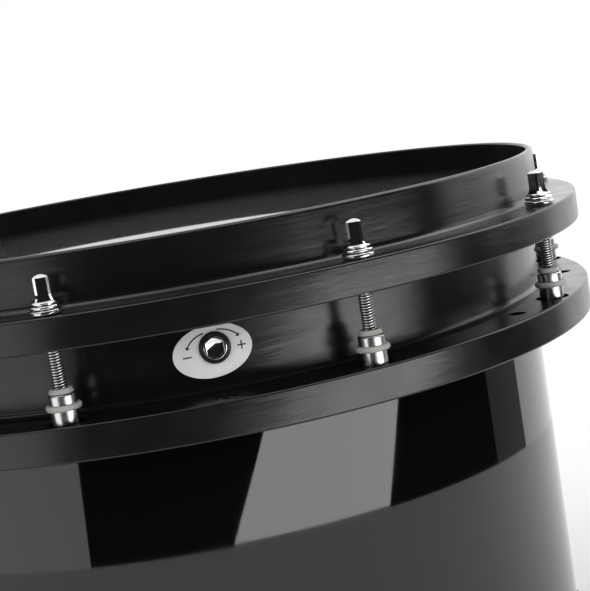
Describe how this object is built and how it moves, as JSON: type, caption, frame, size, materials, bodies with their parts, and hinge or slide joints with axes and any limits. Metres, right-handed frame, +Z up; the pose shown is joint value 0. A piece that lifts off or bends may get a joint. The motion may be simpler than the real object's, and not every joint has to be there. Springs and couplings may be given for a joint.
{
  "type": "marching snare drum",
  "caption": "Marching snare drum with a floating shell between cast edge rings, key-rod tensioned hoops, height-adjustable top snares, and a lever strainer and screw butt below.",
  "frame": {"origin": "on the floor under the centre of the drum, in the plane of the lower hoop's rim", "axes": "+Z up along the drum's axis, -Y to the front with the strainer and the front height adjuster, +X to the right with the vent"},
  "size_m": [0.4014, 0.4712, 0.3334],
  "materials": {
    "satin_black_casting": "satin black powder coat on cast aluminium",
    "gloss_black_lacquer": "high-gloss black lacquer on a wood ply",
    "black_woven_head": "black woven fibre laminate with a glossy film",
    "aluminium": "bare, extruded",
    "chrome": "polished chrome plate",
    "steel": "nickel-plated steel",
    "printed_plate": "light grey printed label plate",
    "black_plastic": "moulded black nylon",
    "snare_strand": "synthetic gut strand"
  },
  "bodies": {
    "drum": {"shell": "gloss_black_lacquer", "batter_hoop": "satin_black_casting", "batter_head_film": "black_woven_head", "batter_flesh_hoop": "aluminium", "upper_edge_ring": "satin_black_casting", "lower_edge_ring": "satin_black_casting", "snare_flesh_hoop": "aluminium", "snare_head_film": "black_woven_head", "snare_hoop": "satin_black_casting", "vent_grommet": "chrome", "adjuster_plate_front": "printed_plate", "adjuster_plate_back": "printed_plate", "adjuster_bushing_front": "black_plastic", "adjuster_bushing_back": "black_plastic", "top_snare_guide_front": "aluminium", "top_snare_guide_back": "aluminium", "snare_strands": "snare_strand", "strainer_bracket": "chrome", "strainer_lever_pin": "steel", "butt_bracket": "chrome", "batter_lug_tube_01": "chrome", "batter_lug_tube_02": "chrome", "batter_lug_tube_03": "chrome", "batter_lug_tube_04": "chrome", "batter_lug_tube_05": "chrome", "batter_lug_tube_06": "chrome", "batter_lug_tube_07": "chrome", "batter_lug_tube_08": "chrome", "batter_lug_tube_09": "chrome", "batter_lug_tube_10": "chrome"},
    "batter_rod_01": {"batter_tension_rod_01": "chrome"},
    "batter_rod_02": {"batter_tension_rod_02": "chrome"},
    "batter_rod_03": {"batter_tension_rod_03": "chrome"},
    "batter_rod_04": {"batter_tension_rod_04": "chrome"},
    "batter_rod_05": {"batter_tension_rod_05": "chrome"},
    "batter_rod_06": {"batter_tension_rod_06": "chrome"},
    "batter_rod_07": {"batter_tension_rod_07": "chrome"},
    "batter_rod_08": {"batter_tension_rod_08": "chrome"},
    "batter_rod_09": {"batter_tension_rod_09": "chrome"},
    "batter_rod_10": {"batter_tension_rod_10": "chrome"},
    "snare_rod_01": {"snare_tension_rod_01": "chrome"},
    "snare_rod_02": {"snare_tension_rod_02": "chrome"},
    "snare_rod_03": {"snare_tension_rod_03": "chrome"},
    "snare_rod_04": {"snare_tension_rod_04": "chrome"},
    "snare_rod_05": {"snare_tension_rod_05": "chrome"},
    "snare_rod_06": {"snare_tension_rod_06": "chrome"},
    "snare_rod_07": {"snare_tension_rod_07": "chrome"},
    "snare_rod_08": {"snare_tension_rod_08": "chrome"},
    "snare_rod_09": {"snare_tension_rod_09": "chrome"},
    "snare_rod_10": {"snare_tension_rod_10": "chrome"},
    "front_adjuster": {"adjuster_screw_front": "chrome"},
    "back_adjuster": {"adjuster_screw_back": "chrome"},
    "top_snares": {"top_snare_frame": "aluminium", "top_snare_wires": "steel"},
    "throw_off_lever": {"strainer_lever": "chrome"},
    "strainer_jaw": {"strainer_carriage": "steel", "strainer_clamp_plate": "chrome"},
    "butt_jaw": {"butt_jaw": "steel", "butt_clamp_plate": "chrome"},
    "butt_knob": {"butt_tension_knob": "chrome"}
  },
  "joints": [
    {"name": "batter_rod_01_turn", "type": "hinge", "parent": "drum", "child": "batter_rod_01", "pos_m": [0.05942, -0.18289, 0.3119], "axis": [0, 0, 1], "continuous": true},
    {"name": "batter_rod_02_turn", "type": "hinge", "parent": "drum", "child": "batter_rod_02", "pos_m": [0.15557, -0.11303, 0.3119], "axis": [0, 0, 1], "continuous": true},
    {"name": "batter_rod_03_turn", "type": "hinge", "parent": "drum", "child": "batter_rod_03", "pos_m": [0.1923, 0, 0.3119], "axis": [0, 0, 1], "continuous": true},
    {"name": "batter_rod_04_turn", "type": "hinge", "parent": "drum", "child": "batter_rod_04", "pos_m": [0.15557, 0.11303, 0.3119], "axis": [0, 0, 1], "continuous": true},
    {"name": "batter_rod_05_turn", "type": "hinge", "parent": "drum", "child": "batter_rod_05", "pos_m": [0.05942, 0.18289, 0.3119], "axis": [0, 0, 1], "continuous": true},
    {"name": "batter_rod_06_turn", "type": "hinge", "parent": "drum", "child": "batter_rod_06", "pos_m": [-0.05942, 0.18289, 0.3119], "axis": [0, 0, 1], "continuous": true},
    {"name": "batter_rod_07_turn", "type": "hinge", "parent": "drum", "child": "batter_rod_07", "pos_m": [-0.15557, 0.11303, 0.3119], "axis": [0, 0, 1], "continuous": true},
    {"name": "batter_rod_08_turn", "type": "hinge", "parent": "drum", "child": "batter_rod_08", "pos_m": [-0.1923, 0, 0.3119], "axis": [0, 0, 1], "continuous": true},
    {"name": "batter_rod_09_turn", "type": "hinge", "parent": "drum", "child": "batter_rod_09", "pos_m": [-0.15557, -0.11303, 0.3119], "axis": [0, 0, 1], "continuous": true},
    {"name": "batter_rod_10_turn", "type": "hinge", "parent": "drum", "child": "batter_rod_10", "pos_m": [-0.05942, -0.18289, 0.3119], "axis": [0, 0, 1], "continuous": true},
    {"name": "snare_rod_01_turn", "type": "hinge", "parent": "drum", "child": "snare_rod_01", "pos_m": [0.05942, -0.18289, 0.0215], "axis": [0, 0, -1], "continuous": true},
    {"name": "snare_rod_02_turn", "type": "hinge", "parent": "drum", "child": "snare_rod_02", "pos_m": [0.15557, -0.11303, 0.0215], "axis": [0, 0, -1], "continuous": true},
    {"name": "snare_rod_03_turn", "type": "hinge", "parent": "drum", "child": "snare_rod_03", "pos_m": [0.1923, 0, 0.0215], "axis": [0, 0, -1], "continuous": true},
    {"name": "snare_rod_04_turn", "type": "hinge", "parent": "drum", "child": "snare_rod_04", "pos_m": [0.15557, 0.11303, 0.0215], "axis": [0, 0, -1], "continuous": true},
    {"name": "snare_rod_05_turn", "type": "hinge", "parent": "drum", "child": "snare_rod_05", "pos_m": [0.05942, 0.18289, 0.0215], "axis": [0, 0, -1], "continuous": true},
    {"name": "snare_rod_06_turn", "type": "hinge", "parent": "drum", "child": "snare_rod_06", "pos_m": [-0.05942, 0.18289, 0.0215], "axis": [0, 0, -1], "continuous": true},
    {"name": "snare_rod_07_turn", "type": "hinge", "parent": "drum", "child": "snare_rod_07", "pos_m": [-0.15557, 0.11303, 0.0215], "axis": [0, 0, -1], "continuous": true},
    {"name": "snare_rod_08_turn", "type": "hinge", "parent": "drum", "child": "snare_rod_08", "pos_m": [-0.1923, 0, 0.0215], "axis": [0, 0, -1], "continuous": true},
    {"name": "snare_rod_09_turn", "type": "hinge", "parent": "drum", "child": "snare_rod_09", "pos_m": [-0.15557, -0.11303, 0.0215], "axis": [0, 0, -1], "continuous": true},
    {"name": "snare_rod_10_turn", "type": "hinge", "parent": "drum", "child": "snare_rod_10", "pos_m": [-0.05942, -0.18289, 0.0215], "axis": [0, 0, -1], "continuous": true},
    {"name": "adjuster_front_turn", "type": "hinge", "parent": "drum", "child": "front_adjuster", "pos_m": [0, -0.18, 0.2876], "axis": [0, 1, 0], "range_deg": [-70, 0]},
    {"name": "adjuster_back_turn", "type": "hinge", "parent": "drum", "child": "back_adjuster", "pos_m": [0, 0.18, 0.2876], "axis": [0, -1, 0], "range_deg": [-70, 0]},
    {"name": "top_snare_lift", "type": "slide", "parent": "drum", "child": "top_snares", "axis": [0, 0, 1], "range_m": [-0.00252, 0]},
    {"name": "strainer_lever_throw", "type": "hinge", "parent": "drum", "child": "throw_off_lever", "pos_m": [0, -0.2191, 0.036], "axis": [1, 0, 0], "range_deg": [0, 90]},
    {"name": "strainer_carriage_slide", "type": "slide", "parent": "drum", "child": "strainer_jaw", "axis": [0, 1, 0], "range_m": [0, 0.00496]},
    {"name": "butt_knob_turn", "type": "hinge", "parent": "drum", "child": "butt_knob", "pos_m": [0, 0.23, 0.0135], "axis": [0, 1, 0], "range_deg": [-360, 360]},
    {"name": "butt_jaw_slide", "type": "slide", "parent": "drum", "child": "butt_jaw", "axis": [0, 1, 0], "range_m": [-0.00101, 0.00101]}
  ],
  "couplings": [
    {"joint": "adjuster_front_turn", "follows": "top_snare_lift", "rad_per_m": 484.1},
    {"joint": "adjuster_back_turn", "follows": "top_snare_lift", "rad_per_m": 484.1},
    {"joint": "strainer_carriage_slide", "follows": "strainer_lever_throw", "m_per_rad": 0.0031513},
    {"joint": "butt_jaw_slide", "follows": "butt_knob_turn", "m_per_rad": -0.00015915}
  ]
}
